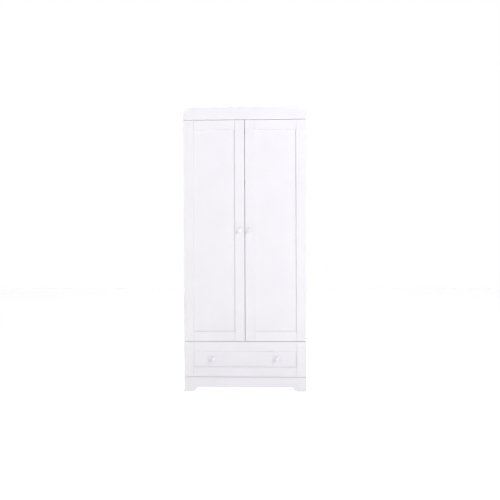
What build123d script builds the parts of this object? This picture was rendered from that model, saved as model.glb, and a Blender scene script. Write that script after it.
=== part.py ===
from build123d import *
import math
import os

# A nursery wardrobe: two overlay doors on cup hinges over one full-width drawer on roller runners.
#
# Millimetres: +X to the right seen from the front, the front faces -Y, +Z up.
# The origin is on the floor, in the middle of the closed wardrobe's bounding box.
# Left-hand pieces are built first, and the right-hand ones are their mirror images.

# ------------------------------------------------------------------ driving sizes: whole object
body_width = 808.0             # across the outer faces of the two side panels
overall_height = 1880.0        # floor to the top of the cornice
carcass_depth = 520.0          # front edge to rear edge of a side panel
plinth_height = 96.0           # floor to the top of the plinth board
drawer_front_height = 233.0
cornice_height = 80.0
reveal = 2.5                   # gap between one front and the next, up the face
centre_gap = 3.0               # gap between the two doors

# ------------------------------------------------------------------ boards and fits
board = 16.0                   # side, top, middle and base panels
shelf_board = 16.0
back_board = 3.0
fit = 0.2                      # slack of a board in its groove, or of a piece beside its neighbour
bore_fit = 0.05                # radial slack of a fastener in its hole
groove_play = 1.0              # room left at the bottom of a long groove
past = 1.0                     # how far a cut runs past the face that it opens
near = 0.01                    # how close an edge lies to the place that it is picked by
arris = 1.2                    # small rounding on painted edges
corner_arris = 1.8             # rounding on the outer edges of doors and drawer front

# ------------------------------------------------------------------ cornice and plinth
cornice_board = 22.0
cornice_overhang = 3.0         # past each side panel
cornice_radius = 54.0          # its two top corners
cornice_above_top = 52.0       # how far it stands above the top panel
plinth_board = 18.0
foot_width = 68.0              # plinth foot at the floor, seen from the front
foot_slope = 26.0              # run of the sloping edge beside a foot
arch_height = 28.0             # floor to the underside of the arch between the feet
side_foot_length = 74.0        # feet cut in each side panel
glide_height = 3.0
glide_radius = 9.0
glide_rounding = 1.0
rear_rail_height = 60.0
top_rail_height = 68.0         # rail under the top panel, behind the doors

# ------------------------------------------------------------------ doors and drawer front
front_board = 18.0             # thickness of stiles and rails
frame_width = 64.0             # width of stiles and rails
panel_board = 6.0              # door panel, and the tongue of the drawer's panel
panel_recess = 6.0             # door face to panel face
tongue = 10.0                  # depth of the groove round the frame
tongue_play = 0.5              # between a tongue's end and its groove
door_gap = 2.0                 # behind a closed door
joint_gap = 0.8                # open shadow line between a rail's shoulder and its stile
joint_depth = 2.5
knob_radius = 13.5
knob_projection = 27.0
knob_neck_radius = 5.5
knob_foot_radius = 8.0
knob_foot_height = 1.6
knob_edge_radius = 4.0         # rounding of the head's edge
knob_edge_height = 19.5        # door face to the widest part of the head
knob_lift = 4.0                # door knobs, above the middle of the door
drawer_knob_lift = 8.0         # drawer knobs, above the middle of the drawer front
drawer_knob_spacing = 424.0
knob_screw_radius = 2.0
knob_screw_head = 4.0
knob_bore = 12.0
knob_bore_gap = 1.0            # beyond the end of its screw

# ------------------------------------------------------------------ cup hinges
hinge_count = 3                # on each door
hinge_end_distance = 100.0     # door end to the nearest hinge
# u runs inward from the side panel's inner face, v forward from the carcass front
cup_radius = 17.4
cup_centre_u = 6.5
cup_depth = 12.0
cup_wall = 0.8
cup_flange = 1.2
cup_rim = 1.6                  # how far the flange reaches past the cup
cup_screw_spacing = 48.0
cup_ear = 6.0                  # half the width of a screw ear
cup_ear_radius = 5.5
arm_pin_u = 13.4               # pin of the link on the arm
arm_pin_v = 8.05
link_knee = (3.3, 10.95)       # bend of the link, doors closed
link_end = (-6.2, 8.75)        # far end of the link, doors closed
link_half_thickness = 1.1
link_half_height = 6.0
link_eye_radius = 2.6          # round the arm's pin
link_tip_radius = 1.6          # at its far end
link_tip_bore = 0.8
arm_wall = 1.2
arm_half_height = 9.0
arm_length = 62.0              # behind the carcass front
arm_height = 10.0              # off the mounting plate
arm_nose = 3.2                 # radius round the link's pin
arm_bend_v = -12.0             # where its back turns toward the cup
arm_foot_v = -10.0             # and where its foot leaves the plate
arm_back_drop = 7.0            # from the pin back to the bend beside the nose
arm_foot_drop = 5.0
arm_clearance = 9.0            # how far its pocket is open around it
hinge_pin_radius = 1.5
plate_sheet = 2.0              # wings of the mounting plate
plate_wing_half = 8.0
plate_wing_end = 7.0           # past each screw
plate_corner_radius = 6.0
plate_ridge = 9.0              # its raised middle, off the side panel
plate_ridge_half = 6.5
plate_front_v = -16.0
plate_rear_inset = 4.0         # in from the arm's rear end
plate_screw_v = -37.0
plate_screw_z = 24.0           # either side of the hinge's middle
set_screw_vs = (-50.0, -24.0)  # the arm's two adjusting screws
set_screw_radius = 2.3
set_screw_head = 3.4
set_screw_length = 6.0
set_screw_gap = 0.5            # beyond its end
bumper_radius = 3.0
bumper_height = 1.7
bumper_rounding = 0.7
bumper_lift = 0.5              # lower bumper, below the middle panel's upper face
bumper_x = 30.0                # either side of the middle

# ------------------------------------------------------------------ inside the wardrobe
shelf_drop = 300.0             # underside of the top panel to the top of the hat shelf
rail_drop = 78.0               # underside of the hat shelf to the rail's middle
rail_radius = 12.5
rail_wall = 1.2
shelf_setback = 22.0           # shelf's front edge, behind the carcass front
shelf_play = 1.0               # each side of the shelf and behind it
pin_spacing = 64.0             # between alternative shelf heights
pin_inset_front = 40.0         # from the shelf's front edge
pin_inset_rear = 60.0          # from the back
back_inset = 10.0              # rear edge of the carcass to the back boards
back_groove = 6.0
back_lap = 30.0                # how far the back boards reach below the base panel
back_groove_run = 10.0         # how far their grooves run on below them
strip_web = 2.0
strip_flange = 14.0            # each way from the middle
strip_sheet = 1.0
socket_radius = 24.0
socket_floor = 3.0
socket_rounding = 1.0
socket_collar = 14.0           # how far the rail's sockets stand off the side panel
socket_wall = 2.2
socket_screw_offset = 19.2     # either side of the rail
pin_radius = 2.5
pin_reach = 8.0                # shelf pin, each way from the side panel's face
pin_collar_radius = 4.4
pin_collar = 0.9               # thickness of its collar

# ------------------------------------------------------------------ drawer
drawer_board = 12.0
drawer_side_height = 140.0
drawer_length = 440.0
drawer_bottom_board = 4.0
drawer_bottom_rise = 10.0      # lower edge of a drawer side to its bottom board
runner_space = 12.5            # between a drawer side and a side panel
runner_length = 430.0
runner_sheet = 1.2
runner_floor = 10.5            # width of its lower and upper flanges
runner_lip = 4.0
runner_front_inset = 4.0       # cabinet runner, behind the carcass front
runner_play = 0.5              # between the drawer's track and the lip over it
runner_screw_drop = 12.0       # below the runner's upper edge
track_overhang = 1.5           # drawer's track, past the roller's width
runner_rise = 8.0              # base panel to the cabinet runner
runner_screws = (60.0, 220.0, 380.0)   # behind the carcass front
roller_radius = 10.0
roller_width = 7.0
roller_axle_radius = 2.0
roller_gap = 0.6               # each side of a roller on its axle
roller_inset = 2.0             # from a roller to the end or the foot of its runner
roller_rounding = 0.6
roller_groove = 0.8            # depth of the ring in each face
roller_rim = 2.5               # outside that ring
roller_hub = 2.0               # wall between its axle and the ring
roof_start = 2.5               # roller radii from the cabinet roller's middle to the runner's roof
runner_slack = 0.3             # between a roller and what rolls on it
runner_setback = 6.0           # drawer front to its runners
drawer_seat = 8.0              # foot of the cabinet runner to the underside of a drawer side
drawer_groove = 6.0
drawer_groove_play = 0.5
drawer_back_drop = 10.0        # drawer back, below the upper edges of the sides
drawer_cam_lift = 28.0         # lower cam, above the drawer's bottom
drawer_screw_lift = 20.0       # lower screw of the back, above the drawer's bottom
drawer_upper_drop = 30.0       # upper cam and screw, below the upper edges of the sides
drawer_screw_length = 26.0
drawer_cam_depth = 9.0
drawer_cam_distance = 24.0     # from the drawer front's rear face

# ------------------------------------------------------------------ fasteners
cam_radius = 7.5
cam_depth = 12.0
cam_distance = 34.0            # board end to the cam's middle
cam_slot = 1.6                 # width of its cross recess
cam_slot_depth = 2.0
bolt_radius = 3.5
bolt_tip_radius = 2.5
bolt_tip_length = 10.0
bolt_gap = 2.0                 # from a bolt's end to its cam's middle
dowel_radius = 4.0
dowel_length = 30.0
dowel_shares = (0.3, 0.7)      # dowels' places between the front and the rear cam
fitting_inset_front = 50.0     # carcass front to the first cam of each board
fitting_inset_rear = 60.0      # and its rear edge to the last
cornice_screw_inset = 100.0    # wardrobe's outer face to the cornice's first screw
cornice_screw_count = 4
cornice_screw_length = 28.0
bracket_spacing = 600.0        # wall brackets on the top panel
bracket_leg = 36.0
bracket_width = 18.0
bracket_sheet = 2.0
bracket_bend = 1.5             # rounding inside its bend
bracket_hole_radius = 2.5
bracket_hole_height = 23.5
bracket_screw_inset = 25.0     # from the wardrobe's rear face
block_size = 22.0              # glue blocks behind the plinth board
block_length = 60.0
screw_shank_radius = 1.75
screw_head_radius = 3.5
screw_head_height = 1.6
screw_slot = 0.7               # width of the cross recess
screw_slot_depth = 0.6
screw_slot_spread = 1.1        # its length, in head radii
screw_length = 13.0

# ------------------------------------------------------------------ worked-out places
half_width = body_width / 2
inner_half = half_width - board
total_depth = knob_projection + front_board + door_gap + carcass_depth
door_front_y = -total_depth / 2 + knob_projection
door_back_y = door_front_y + front_board
front_y = door_back_y + door_gap                 # front edge of the carcass
panel_face_y = door_front_y + panel_recess       # front face of the recessed panels
panel_rear_y = panel_face_y + panel_board        # rear face of the panels' tongues
rear_y = front_y + carcass_depth
back_front_y = rear_y - back_inset - back_board  # front face of the back boards
inner_rear_y = back_front_y - fit                # where inside boards stop

drawer_front_low = plinth_height + reveal
drawer_front_high = drawer_front_low + drawer_front_height
door_low = drawer_front_high + reveal
cornice_low = overall_height - cornice_height
door_high = cornice_low - reveal

top_high = overall_height - cornice_above_top    # upper face of the top panel
top_low = top_high - board
middle_low = drawer_front_high + reveal / 2 - board / 2
middle_high = middle_low + board
base_low = plinth_height + reveal / 2 - board / 2
base_high = base_low + board
shelf_high = top_low - shelf_drop
shelf_low = shelf_high - shelf_board
rail_z = shelf_low - rail_drop
rail_y = (front_y + inner_rear_y) / 2
shelf_front_y = front_y + shelf_setback
door_knob_x = -centre_gap / 2 - frame_width / 2
knob_z = (door_low + door_high) / 2 + knob_lift
drawer_knob_z = (drawer_front_low + drawer_front_high) / 2 + drawer_knob_lift
cornice_screw_z = (cornice_low + top_low) / 2
cornice_screw_step = (body_width - 2 * cornice_screw_inset) / (cornice_screw_count - 1)
cornice_screw_xs = [cornice_screw_inset - half_width + i * cornice_screw_step
                    for i in range(cornice_screw_count)]
bracket_xs = (-bracket_spacing / 2, bracket_spacing / 2)

nodes = {}


# ------------------------------------------------------------------ helpers
def slab(x0, x1, y0, y1, z0, z1):
    """A box between two corners."""
    middle = ((x0 + x1) / 2, (y0 + y1) / 2, (z0 + z1) / 2)
    return Pos(*middle) * Box(abs(x1 - x0), abs(y1 - y0), abs(z1 - z0))


def rod_x(x0, x1, y, z, radius):
    """A cylinder along X."""
    return Pos((x0 + x1) / 2, y, z) * Rot(0, 90, 0) * Cylinder(radius, abs(x1 - x0))


def rod_y(y0, y1, x, z, radius):
    """A cylinder along Y."""
    return Pos(x, (y0 + y1) / 2, z) * Rot(90, 0, 0) * Cylinder(radius, abs(y1 - y0))


def rod_z(z0, z1, x, y, radius):
    """A cylinder along Z."""
    return Pos(x, y, (z0 + z1) / 2) * Cylinder(radius, abs(z1 - z0))


def mirrored(shape):
    """The same piece on the other side of the wardrobe."""
    return mirror(shape, about=Plane.YZ)


def group(solids):
    """Several separate solids as one node."""
    return Compound(children=[Solid(s.solid().wrapped) for s in solids])


def both_sides(solids):
    """Left-hand solids and their mirror images as one node."""
    return group(solids + [mirrored(s) for s in solids])


def face_edges(shape, axis, value):
    """Edges that lie in the plane where this axis has this value."""
    return shape.edges().filter_by_position(axis, value - near, value + near)


def softened(shape, axis, value, radius):
    """Rounds every edge of the face that lies at this value along the axis."""
    return fillet(face_edges(shape, axis, value), radius)


def screw(length=screw_length, shank=screw_shank_radius, head=screw_head_radius):
    """A pan-head screw with a cross recess: its head's seat at the origin, its shank down -Z."""
    body = Pos(0, 0, screw_head_height / 2) * Cylinder(head, screw_head_height)
    body = fillet(face_edges(body, Axis.Z, screw_head_height), screw_head_height / 2)
    body += Pos(0, 0, -length / 2) * Cylinder(shank, length)
    for turn in (0, 90):
        slot = Box(head * screw_slot_spread, screw_slot, screw_slot_depth * 2)
        body -= Pos(0, 0, screw_head_height) * Rot(0, 0, turn) * slot
    return body


def screw_into(direction, x, y, z, **sizes):
    """A screw with its head's seat at a point, driven along one axis: '+x', '-x', '+y', '-z' ..."""
    turns = {"+x": (0, -90, 0), "-x": (0, 90, 0), "+y": (90, 0, 0), "-y": (-90, 0, 0),
             "-z": (0, 0, 0), "+z": (180, 0, 0)}
    return Pos(x, y, z) * Rot(*turns[direction]) * screw(**sizes)


# ------------------------------------------------------------------ knock-down joints between boards
def joint_rows():
    """Top, middle and base panel: each one's middle height, and where its fittings lie."""
    front = front_y + fitting_inset_front
    rear = inner_rear_y - fitting_inset_rear
    dowels = [front + (rear - front) * share for share in dowel_shares]
    return [{"z": low + board / 2, "cams": (front, rear), "dowels": dowels}
            for low in (top_low, middle_low, base_low)]


def cam_housing(y, z_middle):
    """A zinc cam let into a board's underside, with a cross recess to turn it by."""
    x = -inner_half + cam_distance
    low = z_middle - board / 2
    cam = rod_z(low + fit, low + cam_depth, x, y, cam_radius - bore_fit)
    cam -= Pos(x, y, low) * Box(cam_radius, cam_slot, cam_slot_depth * 2)
    cam -= Pos(x, y, low) * Box(cam_slot, cam_radius, cam_slot_depth * 2)
    return cam - rod_x(-inner_half, x, y, z_middle, bolt_radius + bore_fit)


def cam_bolt(y, z):
    """The steel pin from a side panel to its cam."""
    pin = rod_x(-inner_half + fit, -inner_half + cam_distance - bolt_gap, y, z, bolt_radius - bore_fit)
    return pin + rod_x(-inner_half - bolt_tip_length + fit, -inner_half + fit, y, z, bolt_tip_radius)


def cam_cuts(y, z_middle):
    """What one cam and its bolt take out of a board's left end."""
    x = -inner_half + cam_distance
    low = z_middle - board / 2
    hole = rod_z(low - past, low + cam_depth + fit, x, y, cam_radius)
    return hole + rod_x(-inner_half - past, x, y, z_middle, bolt_radius)


def dowel(y, z):
    """A beech dowel, half in the side panel and half in the board's end."""
    reach = dowel_length / 3
    return rod_x(-inner_half - reach, -inner_half + 2 * reach, y, z, dowel_radius - bore_fit)


def dowel_cuts(y, z):
    """The holes for one dowel, in both boards."""
    reach = dowel_length / 3
    return rod_x(-inner_half - reach - past, -inner_half + 2 * reach + past, y, z, dowel_radius)


def fitted_board(shape, row):
    """A board with the cam and dowel holes of its row cut in both ends."""
    cuts = [cam_cuts(y, row["z"]) for y in row["cams"]]
    cuts += [dowel_cuts(y, row["z"]) for y in row["dowels"]]
    for cut in cuts:
        shape -= cut
        shape -= mirrored(cut)
    return shape


# ------------------------------------------------------------------ hinge places on the left door
def hinge_levels():
    """Heights of the hinges, evenly spaced up the door."""
    low = door_low + hinge_end_distance
    high = door_high - hinge_end_distance
    return [low + (high - low) * i / (hinge_count - 1) for i in range(hinge_count)]


def at_uv(u, v):
    """x and y of a point u inward from the side panel's inner face and v forward of the carcass."""
    return -inner_half + u, front_y - v


def uv_prism(points, z0, z1):
    """A prism whose outline is given in u and v."""
    outline = make_face(Polyline(*[at_uv(u, v) for u, v in points], close=True))
    return Pos(0, 0, z0) * extrude(outline, z1 - z0, dir=(0, 0, 1))


def uv_rod(u, v, radius, z0, z1):
    """An upright cylinder at u and v."""
    x, y = at_uv(u, v)
    return rod_z(z0, z1, x, y, radius)


def uv_bar(start, end, half, z0, z1):
    """A flat bar from one point to another, in u and v, with square ends."""
    (u0, v0), (u1, v1) = start, end
    length = math.hypot(u1 - u0, v1 - v0)
    side_u, side_v = -(v1 - v0) / length * half, (u1 - u0) / length * half
    corners = [(u0 + side_u, v0 + side_v), (u1 + side_u, v1 + side_v),
               (u1 - side_u, v1 - side_v), (u0 - side_u, v0 - side_v)]
    return uv_prism(corners, z0, z1)


# ------------------------------------------------------------------ runner places, on the left side
runner_z = base_high + runner_rise
drawer_side_x = -(inner_half - runner_space)     # outer face of the left drawer side
drawer_side_low = runner_z + drawer_seat
runner_front_y = front_y + runner_front_inset
cabinet_roller_y = runner_front_y + roller_radius + roller_inset
cabinet_roller_z = runner_z + roller_radius + roller_inset
drawer_roller_y = front_y + runner_length - roller_radius - roller_inset
drawer_roller_z = runner_z + runner_sheet + runner_slack + roller_radius
track_z = cabinet_roller_z + roller_radius + runner_slack    # underside of the drawer's track
lip_z = track_z + runner_sheet + runner_play                 # lower edge of the lip over the track
runner_high = lip_z + runner_lip
drawer_rear_y = door_back_y + drawer_length
drawer_bottom_low = drawer_side_low + drawer_bottom_rise
drawer_bottom_high = drawer_bottom_low + drawer_bottom_board + fit
drawer_cam_y = door_back_y + drawer_cam_distance
drawer_side_high = drawer_side_low + drawer_side_height
drawer_cam_zs = (drawer_bottom_high + drawer_cam_lift, drawer_side_high - drawer_upper_drop)
drawer_back_screw_zs = (drawer_bottom_high + drawer_screw_lift, drawer_side_high - drawer_upper_drop)
runner_screw_ys = [front_y + back for back in runner_screws]
runner_screw_z = runner_high - runner_screw_drop


# ------------------------------------------------------------------ carcass
def shelf_pin_places():
    """Where the hat shelf's pins stand in the left side panel."""
    return [(shelf_front_y + pin_inset_front, shelf_low), (inner_rear_y - pin_inset_rear, shelf_low)]


def side_panel():
    """The left side panel: feet cut in its lower edge, a groove for the back, and all its holes."""
    outline = [(front_y, glide_height), (front_y + side_foot_length, glide_height),
               (front_y + side_foot_length + foot_slope, arch_height),
               (rear_y - side_foot_length - foot_slope, arch_height),
               (rear_y - side_foot_length, glide_height), (rear_y, glide_height),
               (rear_y, top_high), (front_y, top_high)]
    face = make_face(Plane.YZ * Polyline(*outline, close=True))
    panel = Pos(-half_width, 0, 0) * extrude(face, board, dir=(1, 0, 0))
    panel = fillet(face_edges(panel, Axis.X, -half_width), arris)
    panel -= slab(-inner_half - back_groove, -inner_half + past,
                  back_front_y - fit / 2, rear_y - back_inset + fit / 2,
                  base_low - back_lap - back_groove_run, top_high + past)
    for row in joint_rows():
        for y in row["cams"]:
            panel -= rod_x(-inner_half - bolt_tip_length, -inner_half + past, y, row["z"],
                           bolt_tip_radius + bore_fit)
        for y in row["dowels"]:
            panel -= dowel_cuts(y, row["z"])
    for y, z in shelf_pin_places():
        for step in (-1, 0, 1):
            panel -= rod_x(-inner_half - pin_reach - past, -inner_half + past, y,
                           z - pin_radius + step * pin_spacing, pin_radius)
    for z in hinge_levels():
        for side in (-1, 1):
            x, y = at_uv(0, plate_screw_v)
            panel -= rod_x(x - screw_length, x + past, y, z + side * plate_screw_z,
                           screw_shank_radius + bore_fit)
    for y in runner_screw_ys:
        panel -= rod_x(-inner_half - screw_length, -inner_half + past, y, runner_screw_z,
                       screw_shank_radius + bore_fit)
    for side in (-1, 1):
        panel -= rod_x(-inner_half - screw_length, -inner_half + past,
                       rail_y + side * socket_screw_offset, rail_z, screw_shank_radius + bore_fit)
    return panel


def top_panel():
    """The top panel, full depth, grooved underneath for the back boards."""
    panel = slab(-inner_half, inner_half, front_y, rear_y, top_low, top_high)
    panel -= slab(-inner_half - past, inner_half + past, back_front_y - fit / 2,
                  rear_y - back_inset + fit / 2, top_low - past, top_low + back_groove)
    for x in bracket_xs:
        panel -= rod_z(top_high - screw_length, top_high + past, x, rear_y - bracket_screw_inset,
                       screw_shank_radius + bore_fit)
    return fitted_board(panel, joint_rows()[0])


def inner_panel(low, high, row):
    """A fixed board between the side panels, such as the floor of the hanging space."""
    return fitted_board(slab(-inner_half, inner_half, front_y, inner_rear_y, low, high), row)


def wall_bracket(x):
    """An angle bracket on top of the top panel, flush with the wardrobe's rear face."""
    low = slab(x - bracket_width / 2, x + bracket_width / 2, rear_y - bracket_leg, rear_y,
               top_high, top_high + bracket_sheet)
    wall = slab(x - bracket_width / 2, x + bracket_width / 2, rear_y - bracket_sheet, rear_y,
                top_high, top_high + bracket_leg)
    bracket = low + wall
    inside = face_edges(bracket, Axis.Y, rear_y - bracket_sheet).filter_by(Axis.X)
    bend_z = top_high + bracket_sheet
    bracket = fillet(inside.filter_by_position(Axis.Z, bend_z - near, bend_z + near), bracket_bend)
    bracket -= rod_z(top_high - past, bend_z + past, x, rear_y - bracket_screw_inset,
                     screw_shank_radius + bore_fit)
    return bracket - rod_y(rear_y - bracket_sheet - past, rear_y + past, x,
                           top_high + bracket_hole_height, bracket_hole_radius)


def cornice():
    """The board over the doors, with its two top corners rounded."""
    half = half_width + cornice_overhang
    board_y = front_y - cornice_board
    shape = slab(-half, half, board_y, front_y, cornice_low, overall_height)
    corners = face_edges(shape, Axis.Z, overall_height).filter_by(Axis.Y)
    shape = softened(fillet(corners, cornice_radius), Axis.Y, board_y, corner_arris)
    for x in cornice_screw_xs:
        shape -= rod_y(front_y + board - cornice_screw_length, front_y + past, x, cornice_screw_z,
                       screw_shank_radius + bore_fit)
    return shape


def plinth():
    """The board under the drawer, cut away between two sloping feet."""
    half = half_width
    outline = [(-half, glide_height), (-half + foot_width, glide_height),
               (-half + foot_width + foot_slope, arch_height),
               (half - foot_width - foot_slope, arch_height),
               (half - foot_width, glide_height), (half, glide_height),
               (half, plinth_height), (-half, plinth_height)]
    face = make_face(Plane.XZ * Polyline(*outline, close=True))
    shape = Pos(0, front_y - plinth_board, 0) * extrude(face, plinth_board, dir=(0, 1, 0))
    return softened(shape, Axis.Y, front_y - plinth_board, arris)


def top_rail():
    """The rail that stiffens the top, stops the doors and carries the cornice."""
    shape = slab(-inner_half, inner_half, front_y, front_y + board, top_low - top_rail_height, top_low)
    for x in cornice_screw_xs:
        shape -= rod_y(front_y - past, front_y + board + past, x, cornice_screw_z,
                       screw_shank_radius + bore_fit)
    return shape


def carcass():
    """Every board of the carcass."""
    left = side_panel()
    rows = joint_rows()
    nodes["left_side_panel"] = left
    nodes["right_side_panel"] = mirrored(left)
    nodes["top_panel"] = top_panel()
    nodes["middle_panel"] = inner_panel(middle_low, middle_high, rows[1])
    nodes["base_panel"] = inner_panel(base_low, base_high, rows[2])
    nodes["top_front_rail"] = top_rail()
    nodes["cornice_board"] = cornice()
    nodes["plinth_board"] = plinth()
    nodes["rear_plinth_rail"] = slab(-inner_half, inner_half, inner_rear_y - board, inner_rear_y,
                                     base_low - rear_rail_height, base_low)
    block = slab(-inner_half, -inner_half + block_length, front_y, front_y + block_size,
                 base_low - block_size, base_low)
    nodes["plinth_blocks"] = both_sides([block])
    glides = []
    for y in (front_y + side_foot_length / 2, rear_y - side_foot_length / 2):
        glide = rod_z(0, glide_height, -half_width + board / 2, y, glide_radius)
        glides.append(fillet(face_edges(glide, Axis.Z, 0), glide_rounding))
    nodes["foot_glides"] = both_sides(glides)


def back():
    """Two hardboard sheets in grooves, parted by a T strip whose flange covers the joint behind."""
    low = base_low - back_lap
    high = top_low + back_groove - fit
    outer = inner_half + back_groove - groove_play
    rear = back_front_y + back_board
    sheet = slab(-outer, -strip_web / 2 - fit, back_front_y, rear, low, high)
    nodes["back_board_left"] = sheet
    nodes["back_board_right"] = mirrored(sheet)
    web = slab(-strip_web / 2, strip_web / 2, back_front_y, rear + fit, low, top_low - groove_play)
    flange = slab(-strip_flange, strip_flange, rear + fit / 2, rear + fit / 2 + strip_sheet,
                  low, top_low - groove_play)
    nodes["back_joining_strip"] = web + flange


def shelf():
    """The hat shelf on four pins."""
    boards = slab(-inner_half + shelf_play, inner_half - shelf_play, shelf_front_y,
                  inner_rear_y - shelf_play, shelf_low, shelf_high)
    nodes["hat_shelf"] = softened(boards, Axis.Y, shelf_front_y, arris)
    pins = []
    for y, z in shelf_pin_places():
        pin = rod_x(-inner_half - pin_reach, -inner_half + pin_reach, y, z - pin_radius,
                    pin_radius - bore_fit)
        pins.append(pin + rod_x(-inner_half + bore_fit, -inner_half + pin_collar, y,
                                z - pin_collar_radius - fit / 2, pin_collar_radius))
    nodes["shelf_pins"] = both_sides(pins)


def rail_socket():
    """The closed collar on the left side panel that holds one end of the hanging rail."""
    end = -inner_half + socket_collar
    shape = rod_x(-inner_half, -inner_half + socket_floor, rail_y, rail_z, socket_radius)
    shape = fillet(face_edges(shape, Axis.X, -inner_half + socket_floor), socket_rounding)
    shape += rod_x(-inner_half, end, rail_y, rail_z, rail_radius + socket_wall)
    shape -= rod_x(-inner_half + socket_floor, end + past, rail_y, rail_z, rail_radius + bore_fit)
    for side in (-1, 1):
        shape -= rod_x(-inner_half - past, end, rail_y + side * socket_screw_offset, rail_z,
                       screw_shank_radius + bore_fit)
    return shape


def hanging_rail():
    """The tube that hangers go on, between its two sockets."""
    end = -inner_half + socket_floor
    tube = rod_x(end, -end, rail_y, rail_z, rail_radius)
    bore = rod_x(end - past, past - end, rail_y, rail_z, rail_radius - rail_wall)
    nodes["hanging_rail"] = tube - bore
    nodes["rail_sockets"] = both_sides([rail_socket()])


def carcass_fasteners():
    """Cams, bolts, dowels and screws that hold the boards together, and the two wall brackets."""
    cams, bolts, dowels = [], [], []
    for row in joint_rows():
        for y in row["cams"]:
            cams.append(cam_housing(y, row["z"]))
            bolts.append(cam_bolt(y, row["z"]))
        for y in row["dowels"]:
            dowels.append(dowel(y, row["z"]))
    nodes["cam_fittings"] = both_sides(cams + bolts)
    nodes["dowels"] = both_sides(dowels)
    nodes["wall_brackets"] = group([wall_bracket(x) for x in bracket_xs])
    side_screws = [screw_into("-x", -inner_half + socket_floor, rail_y + side * socket_screw_offset,
                              rail_z) for side in (-1, 1)]
    side_screws += [screw_into("-x", -inner_half + runner_sheet, y, runner_screw_z)
                    for y in runner_screw_ys]
    top_screws = [screw_into("-y", x, front_y + board, cornice_screw_z, length=cornice_screw_length)
                  for x in cornice_screw_xs]
    top_screws += [screw_into("-z", x, rear_y - bracket_screw_inset, top_high + bracket_sheet)
                   for x in bracket_xs]
    nodes["carcass_screws"] = group(side_screws + [mirrored(s) for s in side_screws] + top_screws)


# ------------------------------------------------------------------ framed fronts
def stile(x0, x1, groove_x, low, high):
    """An upright of a framed front, grooved along the edge at groove_x."""
    shape = slab(x0, x1, door_front_y, door_back_y, low, high)
    shape = softened(shape, Axis.Y, door_front_y, arris)
    outer_x = x0 if groove_x == x1 else x1
    rear = face_edges(shape, Axis.Y, door_back_y).filter_by(Axis.Z)
    shape = fillet(rear.filter_by_position(Axis.X, outer_x - near, outer_x + near), corner_arris)
    inward = math.copysign(1, outer_x - groove_x)
    return shape - slab(groove_x - inward * past, groove_x + inward * tongue, panel_face_y - fit / 2,
                        panel_rear_y + fit / 2, low - past, high + past)


def rail(x0, x1, low, high, groove_z):
    """A cross member of a framed front: shoulders, a tongue on each end and a groove for the panel."""
    shape = slab(x0 + joint_gap, x1 - joint_gap, door_front_y, door_back_y, low, high)
    shape = softened(shape, Axis.Y, door_front_y, arris)
    shape += slab(x0, x1, door_front_y + joint_depth, door_back_y, low, high)
    reach = tongue - tongue_play
    shape += slab(x0 - reach, x1 + reach, panel_face_y, panel_rear_y, low, high)
    inward = 1 if groove_z == low else -1
    return shape - slab(x0 - reach - past, x1 + reach + past, panel_face_y - fit / 2,
                        panel_rear_y + fit / 2, groove_z - inward * past, groove_z + inward * tongue)


def framed_front(prefix, x0, x1, low, high, panel_thickness):
    """Two stiles, two rails and a panel let into them."""
    inner0, inner1 = x0 + frame_width, x1 - frame_width
    members = {
        prefix + "left_stile": stile(x0, inner0, inner0, low, high),
        prefix + "right_stile": stile(inner1, x1, inner1, low, high),
        prefix + "top_rail": rail(inner0, inner1, high - frame_width, high, high - frame_width),
        prefix + "bottom_rail": rail(inner0, inner1, low, low + frame_width, low + frame_width),
    }
    reach = tongue - tongue_play
    panel = slab(inner0 - reach, inner1 + reach, panel_face_y, panel_rear_y,
                 low + frame_width - reach, high - frame_width + reach)
    if panel_thickness > panel_board:
        panel += slab(inner0 + fit, inner1 - fit, panel_face_y, panel_face_y + panel_thickness,
                      low + frame_width + fit, high - frame_width - fit)
    members[prefix + "panel"] = panel
    return members


def knob(x, z, face_y):
    """A turned knob: a flared foot, a waist and a domed head with a rounded edge."""
    length = knob_projection
    edge_x = knob_radius - knob_edge_radius
    drop = length - knob_edge_height
    dome_radius = (edge_x ** 2 + drop ** 2 - knob_edge_radius ** 2) / (2 * (drop - knob_edge_radius))
    lean = math.asin(edge_x / (dome_radius - knob_edge_radius))
    rim = (dome_radius * math.sin(lean), length - dome_radius * (1 - math.cos(lean)))
    under = (edge_x, knob_edge_height - knob_edge_radius)
    neck = (knob_neck_radius, under[1] - (edge_x - knob_neck_radius))
    foot = (knob_foot_radius, knob_foot_height)
    outline = [
        TangentArc((0, length), rim, tangent=(1, 0)),
        TangentArc(under, rim, tangent=(1, 0)),
        TangentArc(under, neck, tangent=(-1, 0)),
        TangentArc(neck, foot, tangent=(0, -1)),
        Polyline(foot, (knob_foot_radius, 0), (0, 0), (0, length)),
    ]
    edges = [edge for piece in outline for edge in piece.edges()]
    body = revolve(make_face(Plane.XZ * Wire(edges)), Axis.Z)
    body -= Cylinder(knob_screw_radius + bore_fit, knob_bore * 2)
    return Pos(x, face_y, z) * Rot(90, 0, 0) * body


def knob_screw(x, z, face_y):
    """The machine screw that holds a knob from behind."""
    return screw_into("-y", x, door_back_y, z, length=door_back_y - face_y + knob_bore - knob_bore_gap,
                      shank=knob_screw_radius, head=knob_screw_head)


def knob_hole(x, z):
    """The hole for a knob's screw."""
    return rod_y(door_front_y - past, door_back_y + past, x, z, knob_screw_radius + bore_fit)


# ------------------------------------------------------------------ doors and their hinges
def cup_place():
    """x of the left door's hinge cups, and the y of their open mouth."""
    return at_uv(cup_centre_u, door_gap)


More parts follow.
